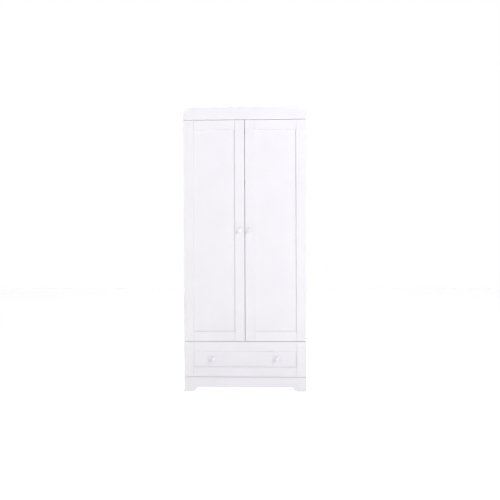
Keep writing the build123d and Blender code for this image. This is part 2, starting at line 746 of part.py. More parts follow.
def hinge_cup(z):
    """A pressed cup let into the door, with a flange and two screw ears."""
    x, mouth_y = cup_place()
    reach = cup_screw_spacing / 2 + cup_ear
    plate = rod_y(mouth_y, mouth_y + cup_flange, x, z, cup_radius + cup_rim)
    ears = slab(x - cup_ear, x + cup_ear, mouth_y, mouth_y + cup_flange, z - reach, z + reach)
    ears = fillet(ears.edges().filter_by(Axis.Y), cup_ear_radius)
    body = plate + ears + rod_y(mouth_y - cup_depth, mouth_y, x, z, cup_radius)
    body -= rod_y(mouth_y - cup_depth + cup_wall, mouth_y + cup_flange + past, x, z, cup_radius - cup_wall)
    for side in (-1, 1):
        body -= rod_y(mouth_y - past, mouth_y + cup_flange + past, x, z + side * cup_screw_spacing / 2,
                      screw_shank_radius + bore_fit)
    return body


def hinge_arm(z):
    """The folded channel on the mounting plate, with its cranked nose reaching into the cup."""
    inner, outer = plate_sheet, plate_sheet + arm_height
    nose_out, nose_in = arm_pin_u + arm_nose, arm_pin_u - arm_nose
    back_v = arm_pin_v - arm_back_drop
    low, high = z - arm_half_height, z + arm_half_height
    wall = [(inner, -arm_length), (outer, -arm_length), (outer, arm_bend_v), (nose_out, back_v),
            (nose_out, arm_pin_v), (nose_in, arm_pin_v), (nose_in, arm_pin_v - arm_foot_drop),
            (inner, arm_foot_v)]
    shape = uv_prism(wall, low, high) + uv_rod(arm_pin_u, arm_pin_v, arm_nose, low, high)
    under = outer - arm_wall
    open_in, open_out = inner - arm_clearance, nose_out + arm_clearance
    open_v = arm_pin_v + arm_clearance
    pocket = [(open_in, -arm_length - past), (under, -arm_length - past), (under, arm_bend_v),
              (nose_out - arm_wall, back_v), (open_out, back_v), (open_out, open_v), (open_in, open_v)]
    shape -= uv_prism(pocket, low + arm_wall, high - arm_wall)
    for v in set_screw_vs:
        x, y = at_uv(outer, v)
        shape -= rod_x(x - arm_wall - past, x + past, y, z, set_screw_radius + bore_fit)
    return shape - uv_rod(arm_pin_u, arm_pin_v, hinge_pin_radius, low - past, high + past)


def hinge_plate(z):
    """The cross-shaped mounting plate, with the raised rail that the arm slides on."""
    x, screw_y = at_uv(0, plate_screw_v)
    _, front = at_uv(0, plate_front_v)
    _, rear = at_uv(0, plate_rear_inset - arm_length)
    reach = plate_screw_z + plate_wing_end
    wings = slab(x, x + plate_sheet, screw_y - plate_wing_half, screw_y + plate_wing_half,
                 z - reach, z + reach)
    wings = fillet(wings.edges().filter_by(Axis.X), plate_corner_radius)
    pad = slab(x, x + plate_sheet, front, rear, z - arm_half_height, z + arm_half_height)
    ridge = slab(x, x + plate_ridge, front, rear, z - plate_ridge_half, z + plate_ridge_half)
    plate = wings + pad + ridge
    for side in (-1, 1):
        plate -= rod_x(x - past, x + plate_sheet + past, screw_y, z + side * plate_screw_z,
                       screw_shank_radius + bore_fit)
    for v in set_screw_vs:
        bore_end = x + plate_sheet + arm_height - set_screw_length - set_screw_gap
        plate -= rod_x(bore_end, x + plate_ridge + past, front_y - v, z, set_screw_radius + bore_fit)
    return plate


def hinge_link(z):
    """The bent lever between arm and cup, an eye at each end."""
    low, high = z - link_half_height, z + link_half_height
    pin = (arm_pin_u, arm_pin_v)
    shape = uv_bar(pin, link_knee, link_half_thickness, low, high)
    shape += uv_bar(link_knee, link_end, link_half_thickness, low, high)
    shape += uv_rod(*link_knee, link_half_thickness, low, high)
    shape += uv_rod(*link_end, link_tip_radius, low, high)
    shape += uv_rod(*pin, link_eye_radius, low, high)
    shape -= uv_rod(*link_end, link_tip_bore, low - past, high + past)
    return shape - uv_rod(*pin, hinge_pin_radius + bore_fit, low - past, high + past)


def hinge_hardware():
    """Plates, arms, pins, links, cups and their screws, on both sides."""
    levels = hinge_levels()
    plates = [hinge_plate(z) for z in levels]
    arms = [hinge_arm(z) for z in levels]
    links = [hinge_link(z) for z in levels]
    cups = [hinge_cup(z) for z in levels]
    pins = [uv_rod(arm_pin_u, arm_pin_v, hinge_pin_radius - bore_fit / 2, z - arm_half_height,
                   z + arm_half_height) for z in levels]
    plate_screws, set_screws, cup_screws = [], [], []
    cup_x, mouth_y = cup_place()
    for z in levels:
        for side in (-1, 1):
            x, y = at_uv(plate_sheet, plate_screw_v)
            plate_screws.append(screw_into("-x", x, y, z + side * plate_screw_z))
            cup_screws.append(screw_into("-y", cup_x, mouth_y + cup_flange,
                                         z + side * cup_screw_spacing / 2))
        for v in set_screw_vs:
            x, y = at_uv(plate_sheet + arm_height, v)
            set_screws.append(screw_into("-x", x, y, z, length=set_screw_length,
                                         shank=set_screw_radius, head=set_screw_head))
    knob_bolt = knob_screw(door_knob_x, knob_z, door_front_y)
    nodes["hinge_plates"] = both_sides(plates)
    nodes["hinge_arms"] = both_sides(arms)
    nodes["hinge_pins"] = both_sides(pins)
    nodes["hinge_screws"] = both_sides(plate_screws + set_screws)
    nodes["left_hinge_links"] = group(links)
    nodes["right_hinge_links"] = group([mirrored(s) for s in links])
    nodes["left_hinge_cups"] = group(cups)
    nodes["right_hinge_cups"] = group([mirrored(s) for s in cups])
    nodes["left_door_screws"] = group(cup_screws + [knob_bolt])
    nodes["right_door_screws"] = group([mirrored(s) for s in cup_screws + [knob_bolt]])


def doors():
    """The two doors: the left one built in place, the right one mirrored from it."""
    members = framed_front("", -half_width, -centre_gap / 2, door_low, door_high, panel_board)
    cup_x, mouth_y = cup_place()
    outer = members["left_stile"]
    for z in hinge_levels():
        outer -= rod_y(mouth_y - cup_depth - fit, mouth_y + past, cup_x, z, cup_radius + bore_fit)
        for side in (-1, 1):
            outer -= rod_y(mouth_y - screw_length, mouth_y + past, cup_x, z + side * cup_screw_spacing / 2,
                           screw_shank_radius + bore_fit)
    members["left_stile"] = outer
    members["right_stile"] -= knob_hole(door_knob_x, knob_z)
    roles = {"left_stile": "hinge_stile", "right_stile": "knob_stile", "top_rail": "top_rail",
             "bottom_rail": "bottom_rail", "panel": "panel"}
    for built, role in roles.items():
        nodes["left_door_" + role] = members[built]
        nodes["right_door_" + role] = mirrored(members[built])
    turned = knob(door_knob_x, knob_z, door_front_y)
    nodes["left_door_knob"] = turned
    nodes["right_door_knob"] = mirrored(turned)


def door_bumpers():
    """Soft buttons on the carcass that the doors close against."""
    buttons = [rod_y(front_y - bumper_height, front_y, -bumper_x, z, bumper_radius)
               for z in (middle_high - bumper_radius - bumper_lift, door_high - bumper_radius * 2)]
    buttons = [fillet(face_edges(b, Axis.Y, front_y - bumper_height), bumper_rounding) for b in buttons]
    nodes["door_bumpers"] = both_sides(buttons)


# ------------------------------------------------------------------ drawer
def cabinet_runner():
    """The channel screwed to the left side panel; the drawer's roller runs along its floor."""
    wall_x = -inner_half
    low, high = runner_z, runner_high
    rear = runner_front_y + runner_length
    roof_front = cabinet_roller_y + roof_start * roller_radius
    edge_x = wall_x + runner_floor
    web = slab(wall_x, wall_x + runner_sheet, runner_front_y, rear, low, high)
    floor = slab(wall_x, edge_x, runner_front_y, rear, low, low + runner_sheet)
    roof = slab(wall_x, edge_x, roof_front, rear, high - runner_sheet, high)
    lip = slab(edge_x - runner_sheet, edge_x, roof_front, rear, lip_z, high)
    shape = web + floor + roof + lip
    for y in runner_screw_ys:
        shape -= rod_x(wall_x - past, wall_x + runner_sheet + past, y, runner_screw_z,
                       screw_shank_radius + bore_fit)
    return shape + rod_x(wall_x + runner_sheet / 2, wall_x + runner_sheet + roller_width + 2 * roller_gap,
                         cabinet_roller_y, cabinet_roller_z, roller_axle_radius)


def drawer_runner():
    """The angle under the left drawer side; its track runs over the cabinet's roller."""
    x = drawer_side_x
    front = door_back_y + runner_setback
    rear = drawer_roller_y + roller_radius
    low, high = drawer_side_low - runner_sheet, track_z + runner_sheet
    web = slab(x - runner_sheet, x, front, rear, low, high)
    track = slab(x - roller_width - track_overhang, x, front, rear, track_z, high)
    seat = slab(x - runner_sheet, x + drawer_board, front, rear, low, drawer_side_low)
    shape = web + track + seat
    return shape + rod_x(x - runner_sheet - roller_width - roller_gap, x - runner_sheet / 2,
                         drawer_roller_y, drawer_roller_z, roller_axle_radius)


def roller(x0, y, z):
    """A nylon roller with a bore for its axle and a shallow groove in each face."""
    shape = rod_x(x0, x0 + roller_width, y, z, roller_radius)
    faces = (x0, x0 + roller_width)
    for x in faces:
        shape = fillet(face_edges(shape, Axis.X, x), roller_rounding)
    for x in faces:
        ring = rod_x(x - roller_groove, x + roller_groove, y, z, roller_radius - roller_rim)
        shape -= ring - rod_x(x - past, x + past, y, z, roller_axle_radius + roller_hub)
    return shape - rod_x(x0 - past, x0 + roller_width + past, y, z, roller_axle_radius + bore_fit)


def drawer_side():
    """The left side of the drawer: grooved for the bottom, bored for the back and the front."""
    inner_x = drawer_side_x + drawer_board
    side = slab(drawer_side_x, inner_x, door_back_y, drawer_rear_y, drawer_side_low, drawer_side_high)
    side = fillet(face_edges(side, Axis.Z, drawer_side_high).filter_by(Axis.Y), arris)
    side -= slab(inner_x - drawer_groove, inner_x + past, door_back_y - past, drawer_rear_y + past,
                 drawer_bottom_low, drawer_bottom_high)
    for z in drawer_back_screw_zs:
        side -= rod_x(drawer_side_x - past, inner_x + past, drawer_rear_y - drawer_board / 2, z,
                      screw_shank_radius + bore_fit)
    for z in drawer_cam_zs:
        side -= rod_x(inner_x - drawer_cam_depth, inner_x + past, drawer_cam_y, z, cam_radius)
        side -= rod_y(door_back_y - past, drawer_cam_y, inner_x - drawer_groove, z,
                      bolt_tip_radius + bore_fit)
    return side


def drawer_box():
    """Sides, back and bottom of the drawer, and what holds them together."""
    inner_x = drawer_side_x + drawer_board
    left = drawer_side()
    nodes["drawer_side_left"] = left
    nodes["drawer_side_right"] = mirrored(left)
    rear_wall = slab(inner_x, -inner_x, drawer_rear_y - drawer_board, drawer_rear_y,
                     drawer_bottom_high, drawer_side_high - drawer_back_drop)
    fixings = []
    for z in drawer_back_screw_zs:
        y = drawer_rear_y - drawer_board / 2
        hole = rod_x(drawer_side_x, drawer_side_x + drawer_screw_length, y, z,
                     screw_shank_radius + bore_fit)
        rear_wall -= hole
        rear_wall -= mirrored(hole)
        fixings.append(screw_into("+x", drawer_side_x, y, z, length=drawer_screw_length))
    for z in drawer_cam_zs:
        lock = rod_x(inner_x - drawer_cam_depth + fit, inner_x, drawer_cam_y, z, cam_radius - bore_fit)
        lock -= Pos(inner_x, drawer_cam_y, z) * Box(cam_slot_depth, cam_radius, cam_slot)
        lock -= Pos(inner_x, drawer_cam_y, z) * Box(cam_slot_depth, cam_slot, cam_radius)
        bolt_x = inner_x - drawer_groove
        lock -= rod_y(door_back_y, drawer_cam_y, bolt_x, z, bolt_tip_radius + bore_fit)
        fixings += [lock, rod_y(door_back_y - bolt_tip_length + fit, drawer_cam_y - bolt_gap, bolt_x, z,
                                bolt_tip_radius)]
    nodes["drawer_back"] = rear_wall
    reach = -inner_x + drawer_groove - drawer_groove_play
    nodes["drawer_bottom"] = slab(-reach, reach, door_back_y + fit, drawer_rear_y,
                                  drawer_bottom_low + fit / 2, drawer_bottom_high - fit / 2)
    fixings.append(knob_screw(-drawer_knob_spacing / 2, drawer_knob_z, panel_face_y))
    nodes["drawer_fixings"] = both_sides(fixings)


def drawer_front():
    """The framed front of the drawer, with its two knobs."""
    members = framed_front("drawer_front_", -half_width, half_width, drawer_front_low,
                           drawer_front_high, front_board - panel_recess)
    for sign, name in ((-1, "drawer_front_left_stile"), (1, "drawer_front_right_stile")):
        for z in drawer_cam_zs:
            members[name] -= rod_y(door_back_y - bolt_tip_length, door_back_y + past,
                                   sign * -(drawer_side_x + drawer_board - drawer_groove), z,
                                   bolt_tip_radius + bore_fit)
    knob_x = -drawer_knob_spacing / 2
    for x in (knob_x, -knob_x):
        members["drawer_front_panel"] -= knob_hole(x, drawer_knob_z)
    nodes.update(members)
    nodes["drawer_knobs"] = both_sides([knob(knob_x, drawer_knob_z, panel_face_y)])


def runners():
    """Both pairs of runners and their rollers."""
    nodes["cabinet_runners"] = both_sides([cabinet_runner()])
    nodes["drawer_runners"] = both_sides([drawer_runner()])
    front_x = -inner_half + runner_sheet + roller_gap
    rear_x = drawer_side_x - runner_sheet - roller_gap / 2 - roller_width
    nodes["cabinet_rollers"] = both_sides([roller(front_x, cabinet_roller_y, cabinet_roller_z)])
    nodes["drawer_rollers"] = both_sides([roller(rear_x, drawer_roller_y, drawer_roller_z)])


carcass()
back()
shelf()
hanging_rail()
carcass_fasteners()
doors()
door_bumpers()
hinge_hardware()
drawer_box()
drawer_front()
runners()

os.makedirs("parts", exist_ok=True)
for name, shape in nodes.items():
    export_step(shape, os.path.join("parts", name + ".step"))
print(len(nodes), "nodes")
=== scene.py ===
import logging
import math
from dataclasses import dataclass
from enum import Enum
from typing import Iterable, Mapping, Sequence, Union

import bmesh
import bpy
from mathutils import Matrix, Vector


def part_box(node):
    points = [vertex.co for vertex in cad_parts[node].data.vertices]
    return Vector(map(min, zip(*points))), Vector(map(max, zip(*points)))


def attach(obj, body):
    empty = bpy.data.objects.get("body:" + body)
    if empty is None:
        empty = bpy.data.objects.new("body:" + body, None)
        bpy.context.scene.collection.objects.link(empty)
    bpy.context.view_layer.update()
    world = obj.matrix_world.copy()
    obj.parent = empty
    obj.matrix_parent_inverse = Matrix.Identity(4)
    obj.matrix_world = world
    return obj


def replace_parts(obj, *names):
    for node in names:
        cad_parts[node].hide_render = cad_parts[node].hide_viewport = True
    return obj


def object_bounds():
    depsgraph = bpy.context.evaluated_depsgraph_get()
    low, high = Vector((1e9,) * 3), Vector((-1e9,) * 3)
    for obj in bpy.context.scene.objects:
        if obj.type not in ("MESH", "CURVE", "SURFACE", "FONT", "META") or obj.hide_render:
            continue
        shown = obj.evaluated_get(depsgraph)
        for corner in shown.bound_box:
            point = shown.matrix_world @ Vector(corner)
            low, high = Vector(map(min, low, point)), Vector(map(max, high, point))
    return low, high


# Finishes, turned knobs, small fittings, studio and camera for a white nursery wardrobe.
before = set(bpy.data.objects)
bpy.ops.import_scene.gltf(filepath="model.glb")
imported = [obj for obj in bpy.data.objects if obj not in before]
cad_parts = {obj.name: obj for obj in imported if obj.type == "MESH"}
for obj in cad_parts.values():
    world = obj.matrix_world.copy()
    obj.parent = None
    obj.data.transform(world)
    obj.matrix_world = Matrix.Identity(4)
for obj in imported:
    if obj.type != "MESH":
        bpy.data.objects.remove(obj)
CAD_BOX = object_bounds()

log = logging.getLogger("wardrobe")

Colour = tuple[float, float, float]
Operand = Union["Value", float]
Span = tuple[float, float]

MM = 0.001
WIDE_EDGES: Span = (0.3, 0.7)      # where clouds turn into patches with wide soft edges
FIRM_EDGES: Span = (0.35, 0.65)    # the same, with firmer edges


class Side(Enum):
    """Which half of the wardrobe a door belongs to."""

    LEFT = "left"
    RIGHT = "right"


class Sheen(Enum):
    """How smooth a painted or moulded surface is, as a roughness."""

    POLISHED = 0.07
    GLOSS = 0.22
    SATIN = 0.36
    SILK = 0.46
    MATT = 0.62


class Grain(Enum):
    """How far a pattern is drawn out along each axis; a larger number is a shorter pattern."""

    EVEN = (1.0, 1.0, 1.0)
    ALONG_X = (0.06, 1.0, 1.0)
    ALONG_Z = (1.0, 1.0, 0.06)


# ---------------------------------------------------------------- shader arithmetic
class Value:
    """A number that varies over a surface, with Python's arithmetic."""

    def __init__(self, recipe: "Recipe", socket: bpy.types.NodeSocket) -> None:
        """Wraps one socket of a recipe's nodes."""
        self.recipe = recipe
        self.socket = socket

    def _maths(self, operation: str, first: Operand, second: Operand) -> "Value":
        """Adds one Math node.

        Args:
            operation: the Math node's operation.
            first: the left operand.
            second: the right operand.

        Returns:
            The node's result.
        """
        node = self.recipe.node("ShaderNodeMath", {"operation": operation}, {0: first, 1: second})
        return Value(self.recipe, node.outputs[0])

    def __add__(self, other: Operand) -> "Value":
        """Sum."""
        return self._maths("ADD", self, other)

    def __sub__(self, other: Operand) -> "Value":
        """Difference."""
        return self._maths("SUBTRACT", self, other)

    def __rsub__(self, other: Operand) -> "Value":
        """Difference, from a plain number."""
        return self._maths("SUBTRACT", other, self)

    def __mul__(self, other: Operand) -> "Value":
        """Product."""
        return self._maths("MULTIPLY", self, other)

    __radd__ = __add__
    __rmul__ = __mul__

    def about(self, middle: float, swing: float) -> "Value":
        """The same pattern, centred on a middle and scaled.

        Args:
            middle: the result where the pattern is at 0.5.
            swing: how much the result changes while the pattern goes from 0 to 1.

        Returns:
            The centred pattern.
        """
        return middle + (self - 0.5) * swing

    def step(self, low: float, high: float) -> "Value":
        """A smooth rise from 0 at low to 1 at high.

        Args:
            low: the input where the rise starts.
            high: the input where it ends.

        Returns:
            The risen value, between 0 and 1.
        """
        node = self.recipe.node(
            "ShaderNodeMapRange",
            {"interpolation_type": "SMOOTHSTEP"},
            {"Value": self, "From Min": low, "From Max": high},
        )
        return Value(self.recipe, node.outputs["Result"])


class Recipe:
    """One material's nodes, around a Principled shader."""

    def __init__(self, name: str) -> None:
        """Starts a material that has a shader and an output."""
        self.material = bpy.data.materials.new(name)
        self.material.use_nodes = True
        self.tree = self.material.node_tree
        self.tree.nodes.clear()
        self.shader = self.node("ShaderNodeBsdfPrincipled")
        self.node("ShaderNodeOutputMaterial", inputs={"Surface": self.shader.outputs["BSDF"]})
        self.coordinates = self.node("ShaderNodeTexCoord")

    def node(
        self,
        kind: str,
        settings: Mapping[str, object] | None = None,
        inputs: Mapping[str | int, object] | None = None,
    ) -> bpy.types.Node:
        """Adds a node of any type.

        Args:
            kind: the node's type.
            settings: the node's own properties, which are set first.
            inputs: a value, a socket or a Value for each named or numbered input.

        Returns:
            The new node.
        """
        made = self.tree.nodes.new(kind)
        for key, setting in (settings or {}).items():
            setattr(made, key, setting)
        for key, given in (inputs or {}).items():
            self.feed(made.inputs[key], given)
        return made

    def feed(self, socket: bpy.types.NodeSocket, given: object) -> None:
        """Links a socket to a Value or another socket, or sets its number or colour."""
        source = given.socket if isinstance(given, Value) else given
        if isinstance(source, bpy.types.NodeSocket):
            self.tree.links.new(source, socket)
        else:
            socket.default_value = source

    def point(self, grain: Grain = Grain.EVEN) -> bpy.types.NodeSocket:
        """The place on the piece, drawn out along one axis if the pattern is."""
        scaled = self.node(
            "ShaderNodeVectorMath",
            {"operation": "MULTIPLY"},
            {0: self.coordinates.outputs["Object"], 1: grain.value},
        )
        return scaled.outputs[0]

    def facing(self, direction: Sequence[float]) -> Value:
        """How far the surface faces a direction of the piece, from -1 to 1."""
        turned = self.node(
            "ShaderNodeVectorMath",
            {"operation": "DOT_PRODUCT"},
            {0: self.coordinates.outputs["Normal"], 1: direction},
        )
        return Value(self, turned.outputs["Value"])

    def noise(self, size: float, grain: Grain = Grain.EVEN, detail: float = 2.0) -> Value:
        """Soft cloudy variation.

        Args:
            size: the width of one cloud, in metres.
            grain: how the clouds are drawn out.
            detail: how many finer layers are added.

        Returns:
            A value about 0.5, from about 0.25 to 0.75.
        """
        made = self.node(
            "ShaderNodeTexNoise",
            inputs={"Vector": self.point(grain), "Scale": 1.0 / size, "Detail": detail},
        )
        return Value(self, made.outputs["Fac"])

    def specks(self, size: float, grain: Grain = Grain.EVEN) -> Value:
        """Distance from the nearest of many scattered points, in cells of a size in metres."""
        made = self.node(
            "ShaderNodeTexVoronoi", inputs={"Vector": self.point(grain), "Scale": 1.0 / size}
        )
        return Value(self, made.outputs["Distance"])

    def blend(self, amount: Operand, first: object, second: object) -> bpy.types.NodeSocket:
        """A colour between two colours.

        Args:
            amount: 0 for the first colour, 1 for the second.
            first: a colour or a socket that gives one.
            second: the other colour.

        Returns:
            The mixed colour's socket.
        """
        mixed = self.node("ShaderNodeMix", {"data_type": "RGBA"})
        self.feed(mixed.inputs[0], amount)
        self.feed(mixed.inputs[6], rgba(first))
        self.feed(mixed.inputs[7], rgba(second))
        return mixed.outputs[2]

    def finish(
        self,
        colour: object,
        roughness: Operand,
        height: Value | None = None,
        depth: float = 0.0,
        **fixed: object,
    ) -> bpy.types.Material:
        """Feeds the shader and gives the material.

        Args:
            colour: the base colour, or the socket that gives it.
            roughness: a number or a Value.
            height: relief from 0 to 1, if the surface has any.
            depth: how deep that relief is, in metres.
            **fixed: inputs of the shader that are the same all over, with _ for a space.

        Returns:
            The finished material.
        """
        self.feed(self.shader.inputs["Base Color"], rgba(colour))
        self.feed(self.shader.inputs["Roughness"], roughness)
        if height is not None:
            relief = self.node("ShaderNodeBump", inputs={"Distance": depth, "Height": height})
            self.feed(self.shader.inputs["Normal"], relief.outputs["Normal"])
        for key, number in fixed.items():
            self.shader.inputs[key.replace("_", " ")].default_value = number
        return self.material


def rgba(colour: object) -> object:
    """A colour with its alpha; a socket or a Value stays as it is."""
    if isinstance(colour, tuple) and len(colour) == 3:
        return (*colour, 1.0)
    return colour


def darkened(colour: Colour, share: float) -> Colour:
    """A colour darkened to a share of itself."""
    return tuple(share * part for part in colour)


# ---------------------------------------------------------------- finishes
@dataclass(frozen=True)
class SprayedPaint:
    """Sprayed white paint on smooth board: faint orange peel, barely uneven colour."""

    name: str = "sprayed_white_paint"
    colour: Colour = (0.86, 0.855, 0.865)
    shaded: Colour = (0.846, 0.841, 0.851)
    sheen: Sheen = Sheen.SATIN
    cloud: float = 0.22
    cloud_swing: float = 0.10
    peel: float = 0.0022
    peel_swing: float = 0.06
    peel_share: float = 0.75
    fibre: float = 0.0005
    depth: float = 0.00003
    gloss: float = 0.45

    def make(self) -> bpy.types.Material:
        """The finished material."""
        recipe = Recipe(self.name)
        cloud = recipe.noise(self.cloud, detail=3.0)
        peel = recipe.noise(self.peel, detail=1.0)
        fibre = recipe.noise(self.fibre, detail=0.0)
        colour = recipe.blend(cloud.step(*FIRM_EDGES), self.colour, self.shaded)
        roughness = cloud.about(self.sheen.value, self.cloud_swing) + (peel - 0.5) * self.peel_swing
        relief = peel * self.peel_share + fibre * (1.0 - self.peel_share)
        return recipe.finish(colour, roughness, relief, self.depth, Specular_IOR_Level=self.gloss)


@dataclass(frozen=True)
class Melamine:
    """White melamine face on chipboard, with its fine pebble emboss."""

    name: str = "white_melamine"
    colour: Colour = (0.83, 0.83, 0.835)
    shaded: Colour = (0.79, 0.79, 0.80)
    sheen: Sheen = Sheen.SILK
    pebble: float = 0.0012
    pebble_swing: float = 0.12
    pebble_slope: Span = (0.1, 0.8)
    cloud: float = 0.16
    depth: float = 0.00005

    def make(self) -> bpy.types.Material:
        """The finished material."""
        recipe = Recipe(self.name)
        cloud = recipe.noise(self.cloud)
        pebble = recipe.specks(self.pebble)
        colour = recipe.blend(cloud.step(*WIDE_EDGES), self.colour, self.shaded)
        roughness = pebble.about(self.sheen.value, self.pebble_swing)
        return recipe.finish(colour, roughness, pebble.step(*self.pebble_slope), self.depth)


@dataclass(frozen=True)
class Hardboard:
    """Thin hardboard: white foil on its show face, brown pressed fibre on the other face and edges."""

    name: str
    show: tuple[float, float, float]
    foil: Colour = (0.82, 0.82, 0.825)
    foil_shade: float = 0.965
    foil_gloss: float = 0.16
    brown: Colour = (0.235, 0.13, 0.066)
    pale_brown: Colour = (0.37, 0.225, 0.125)
    sheen: Sheen = Sheen.MATT
    face_edge: Span = (0.4, 0.6)
    fibre: float = 0.0016
    fibre_share: float = 0.7
    fibre_edges: Span = (0.38, 0.62)
    fibre_swing: float = 0.15
    cloud: float = 0.09
    screen: float = 0.0024
    screen_share: float = 0.6
    foil_relief: float = 0.08
    depth: float = 0.00018

    def make(self) -> bpy.types.Material:
        """The finished material."""
        recipe = Recipe(self.name)
        fibre = recipe.noise(self.fibre, detail=4.0)
        cloud = recipe.noise(self.cloud, detail=3.0)
        screen = recipe.specks(self.screen)
        raw = 1.0 - recipe.facing(self.show).step(*self.face_edge)
        strands = fibre * self.fibre_share + cloud * (1.0 - self.fibre_share)
        fibres = recipe.blend(strands.step(*self.fibre_edges), self.brown, self.pale_brown)
        foil = recipe.blend(cloud.step(*WIDE_EDGES), self.foil, darkened(self.foil, self.foil_shade))
        colour = recipe.blend(raw, foil, fibres)
        base = self.sheen.value - self.foil_gloss
        roughness = base + raw * self.foil_gloss + (fibre - 0.5) * self.fibre_swing
        pressed = screen * self.screen_share + fibre * (1.0 - self.screen_share)
        return recipe.finish(colour, roughness, pressed * raw + fibre * self.foil_relief, self.depth)


@dataclass(frozen=True)
class Beech:
    """Plain beech: straight grain with short darker flecks."""

    name: str = "plain_beech"
    pale: Colour = (0.62, 0.42, 0.24)
    dark: Colour = (0.44, 0.26, 0.13)
    grain: Grain = Grain.ALONG_X
    sheen: Sheen = Sheen.MATT
    ring: float = 0.004
    ring_share: float = 0.7
    ring_edges: Span = (0.4, 0.62)
    fleck: float = 0.0007
    fleck_swing: float = 0.2
    depth: float = 0.00008

    def make(self) -> bpy.types.Material:
        """The finished material."""
        recipe = Recipe(self.name)
        ring = recipe.noise(self.ring, self.grain, detail=3.0)
        fleck = recipe.noise(self.fleck, self.grain, detail=1.0)
        figure = ring * self.ring_share + fleck * (1.0 - self.ring_share)
        colour = recipe.blend(figure.step(*self.ring_edges), self.pale, self.dark)
        roughness = fleck.about(self.sheen.value, self.fleck_swing)
        return recipe.finish(colour, roughness, fleck, self.depth)


@dataclass(frozen=True)
class PlatedSteel:
    """Zinc or nickel plating on pressed steel: faint drawing lines and a cloudy bloom."""

    name: str
    bright: Colour
    dull: Colour
    sheen: Sheen = Sheen.GLOSS
    grain: Grain = Grain.ALONG_Z
    line: float = 0.0004
    line_swing: float = 0.12
    cloud: float = 0.012
    bloom: float = 0.22
    depth: float = 0.00001

    def make(self) -> bpy.types.Material:
        """The finished material."""
        recipe = Recipe(self.name)
        line = recipe.noise(self.line, self.grain, detail=2.0)
        cloud = recipe.noise(self.cloud, detail=3.0)
        colour = recipe.blend(cloud.step(*FIRM_EDGES), self.bright, self.dull)
        roughness = self.sheen.value + cloud * self.bloom + (line - 0.5) * self.line_swing
        return recipe.finish(colour, roughness, line, self.depth, Metallic=1.0)


@dataclass(frozen=True)
class EnamelledSteel:
    """White enamel baked on folded steel: glossy, with a soft orange peel."""

    name: str = "white_enamel"
    colour: Colour = (0.82, 0.82, 0.81)
    shaded: Colour = (0.76, 0.76, 0.75)
    sheen: Sheen = Sheen.GLOSS
    peel: float = 0.0014
    peel_swing: float = 0.1
    cloud: float = 0.042
    depth: float = 0.00006
    coat: float = 0.3

    def make(self) -> bpy.types.Material:
        """The finished material."""
        recipe = Recipe(self.name)
        peel = recipe.noise(self.peel, detail=2.0)
        cloud = recipe.noise(self.cloud)
        colour = recipe.blend(cloud.step(*WIDE_EDGES), self.colour, self.shaded)
        roughness = peel.about(self.sheen.value, self.peel_swing)
        return recipe.finish(colour, roughness, peel, self.depth, Coat_Weight=self.coat)


@dataclass(frozen=True)
class MouldedPlastic:
    """White moulded plastic with a fine eroded texture."""

    name: str
    colour: Colour
    sheen: Sheen = Sheen.SILK
    shade: float = 0.94
    texture: float = 0.0006
    texture_swing: float = 0.12
    cloud: float = 0.024
    depth: float = 0.00004

    def make(self) -> bpy.types.Material:
        """The finished material."""
        recipe = Recipe(self.name)
        texture = recipe.noise(self.texture, detail=2.0)
        cloud = recipe.noise(self.cloud)
        colour = recipe.blend(cloud.step(*WIDE_EDGES), self.colour, darkened(self.colour, self.shade))
        roughness = texture.about(self.sheen.value, self.texture_swing)
        return recipe.finish(colour, roughness, texture, self.depth)


@dataclass(frozen=True)
class ClearRubber:
    """Soft milky bumper: cloudy and slightly see-through."""

    name: str = "milky_rubber"
    colour: Colour = (0.72, 0.72, 0.70)
    shade: float = 0.85
    sheen: Sheen = Sheen.SATIN
    cloud: float = 0.004
    bloom: float = 0.1
    clearness: float = 0.25

    def make(self) -> bpy.types.Material:
        """The finished material."""
        recipe = Recipe(self.name)
        cloud = recipe.noise(self.cloud)
        colour = recipe.blend(cloud, self.colour, darkened(self.colour, self.shade))
        roughness = self.sheen.value + cloud * self.bloom
        return recipe.finish(colour, roughness, Transmission_Weight=self.clearness)


@dataclass(frozen=True)
class StudioFloor:
    """Pale matt floor of the studio, lit from within, and most of all where the wardrobe stands: a
    painted glow that lifts the shadow beneath it.

    The brighter patch is an oval about the origin: squeeze is how much its width is pressed
    together before a distance from the middle is taken, and patch is the stretch of that distance
    in which it fades.
    """

    name: str = "pale_floor"
    colour: Colour = (0.93, 0.93, 0.93)
    shade: float = 0.99
    cloud: float = 1.5
    roughness: float = 0.8
    gloss: float = 0.1
    glow: float = 0.37
    shadow_lifting_glow: float = 0.75
    squeeze: tuple[float, float, float] = (0.6, 1.0, 1.0)
    patch: Span = (0.20, 0.32)

    def make(self) -> bpy.types.Material:
        """The finished material."""
        recipe = Recipe(self.name)
        cloud = recipe.noise(self.cloud)
        colour = recipe.blend(cloud.step(*WIDE_EDGES), self.colour, darkened(self.colour, self.shade))
        oval = recipe.node("ShaderNodeVectorMath", {"operation": "MULTIPLY"},
                           {0: recipe.coordinates.outputs["Object"], 1: self.squeeze})
        reach = recipe.node("ShaderNodeVectorMath", {"operation": "LENGTH"}, {0: oval.outputs[0]})
        # painted glow: the floor shines brighter in the oval where the wardrobe stands, which lifts the
        # shadow that falls beneath it
        away = Value(recipe, reach.outputs["Value"]).step(*self.patch)
        lit = recipe.blend(away, (self.shadow_lifting_glow,) * 3, (self.glow,) * 3)
        recipe.feed(recipe.shader.inputs["Emission Color"], lit)
        return recipe.finish(colour, self.roughness, Specular_IOR_Level=self.gloss,
                             Emission_Strength=1.0)


